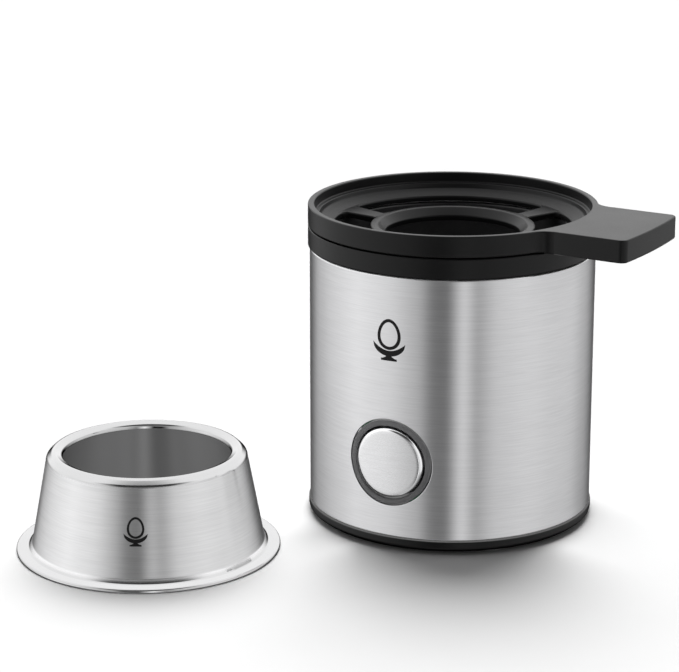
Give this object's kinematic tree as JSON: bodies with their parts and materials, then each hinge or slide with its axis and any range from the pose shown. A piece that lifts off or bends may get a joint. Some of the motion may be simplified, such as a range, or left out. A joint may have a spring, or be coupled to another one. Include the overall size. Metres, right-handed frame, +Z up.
{
  "type": "egg cooker",
  "caption": "Cylindrical brushed-steel electric cooker for a single egg, with a lift-off black egg carrier with a flat handle, a front push button and a separate pressed steel egg cup.",
  "frame": {"origin": "centre of the anti-slip pad's underside, on the cooker's own axis, in the plane that it stands on", "axes": "+Z up, -Y out of the push button, +X along the carrier handle (which is set down 3 degrees round from it)"},
  "size_m": [0.126, 0.1167, 0.0717],
  "materials": {
    "brushed_shell": "brushed round the shell",
    "pressed_cup": "brushed outside, bright at the rolled rim",
    "button_metal": "fine satin face with a bright edge",
    "black_plastic": "satin black moulded plastic",
    "light_ring": "smoked translucent plastic",
    "rubber": "soft black rubber",
    "silicone": "grey silicone",
    "dish_coating": "dark non-stick coating",
    "aluminium": "cast aluminium",
    "element_steel": "heat-darkened tube",
    "zinc": "zinc-plated steel",
    "spring_steel": "drawn spring wire",
    "phenolic": "brown phenolic",
    "inner_white": "heat-resistant white plastic",
    "board": "green solder mask",
    "relay_blue": "moulded blue case",
    "capacitor_yellow": "moulded yellow case",
    "led_red": "clear-edged red lens",
    "wire_brown": "brown insulation",
    "wire_blue": "blue insulation",
    "wire_earth": "green and yellow insulation",
    "wire_red": "red silicone insulation"
  },
  "bodies": {
    "body": {"base_plate": "black_plastic", "steel_sleeve": "brushed_shell", "cord_grommet": "rubber", "top_collar": "black_plastic", "dish_seal": "silicone", "heating_dish": "dish_coating", "heat_spreader": "aluminium", "heating_element": "element_steel", "thermostat": "phenolic", "clamp_spider": "zinc", "clamp_nut_1": "zinc", "clamp_nut_2": "zinc", "thermal_fuse": "inner_white", "fuse_clip": "zinc", "button_bezel": "light_ring", "push_switch": "black_plastic", "button_spring": "spring_steel", "circuit_board": "board", "relay": "relay_blue", "buzzer": "black_plastic", "capacitor": "capacitor_yellow", "indicator_led": "led_red", "terminal_block": "inner_white", "live_wire": "wire_brown", "neutral_wire": "wire_blue", "earth_wire": "wire_earth", "heater_wire_a": "wire_red", "heater_wire_b": "wire_red", "thermostat_wire": "wire_red", "anti_slip_pad": "rubber", "foot_1": "rubber", "body_screw_1": "zinc", "foot_2": "rubber", "body_screw_2": "zinc", "foot_3": "rubber", "body_screw_3": "zinc", "foot_4": "rubber", "body_screw_4": "zinc"},
    "button": {"button_cap": "button_metal", "button_plunger": "black_plastic", "switch_actuator": "inner_white"},
    "carrier": {"egg_carrier": "black_plastic"},
    "cup": {"egg_cup": "pressed_cup"}
  },
  "joints": [
    {"name": "carrier_lift", "type": "slide", "parent": "body", "child": "carrier", "axis": [0, 0, 1], "range_m": [0, 0.06]},
    {"name": "button_press", "type": "slide", "parent": "body", "child": "button", "axis": [0, 1, 0], "range_m": [0, 0.0015], "stiffness_N_per_m": 400, "springref_m": -0.003, "deforming": ["button_spring"]},
    {"name": "egg_cup_lift", "type": "slide", "parent": "body", "child": "cup", "axis": [0, 0, 1], "range_m": [0, 0.08]}
  ]
}
